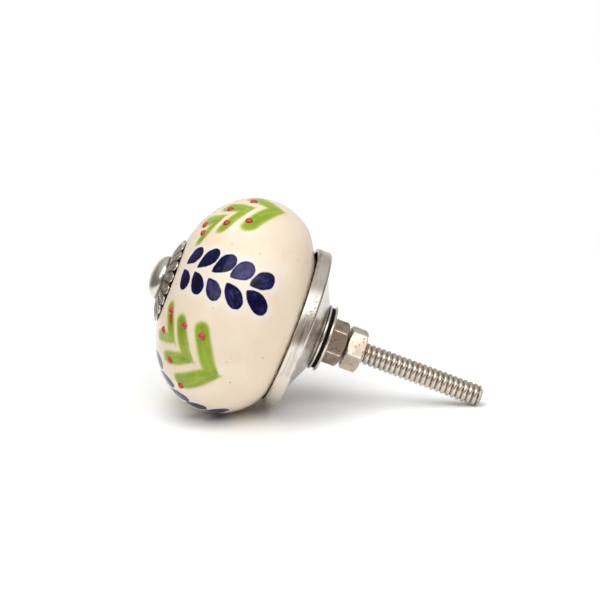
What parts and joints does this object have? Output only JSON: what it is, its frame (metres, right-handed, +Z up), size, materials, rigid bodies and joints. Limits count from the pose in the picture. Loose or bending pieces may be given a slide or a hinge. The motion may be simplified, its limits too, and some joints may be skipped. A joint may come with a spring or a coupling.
{
  "type": "cabinet knob",
  "caption": "Squat glazed ceramic cabinet knob with painted sprigs and raised dots, a petalled metal cap, a base cup and a through screw with washers and nuts.",
  "frame": {"origin": "middle of the flat hub at the back of the base cup, on the screw's axis, where the drawer front seats", "axes": "+Y along the screw, from the dome head to its free end; +Z up; +X to the right of the dome head's face as it is seen from in front"},
  "size_m": [0.04, 0.0638, 0.04],
  "materials": {
    "screw_steel": "nickel plated, satin",
    "cap_metal": "nickel plated, darkened in the grooves",
    "glazed_ceramic": "glossy ivory glaze, hand painted",
    "cup_nickel": "bright nickel plate, spun",
    "washer_steel": "nickel plated",
    "black_rubber": "matt",
    "nut_steel": "nickel plated, warm, scratched"
  },
  "bodies": {
    "root": {"knob_screw": "screw_steel", "flower_cap": "cap_metal", "ceramic_bulb": "glazed_ceramic", "base_cup": "cup_nickel", "inner_washer": "washer_steel", "rubber_washer": "black_rubber", "outer_washer": "washer_steel", "inner_nut": "nut_steel", "outer_nut": "nut_steel"}
  },
  "joints": []
}
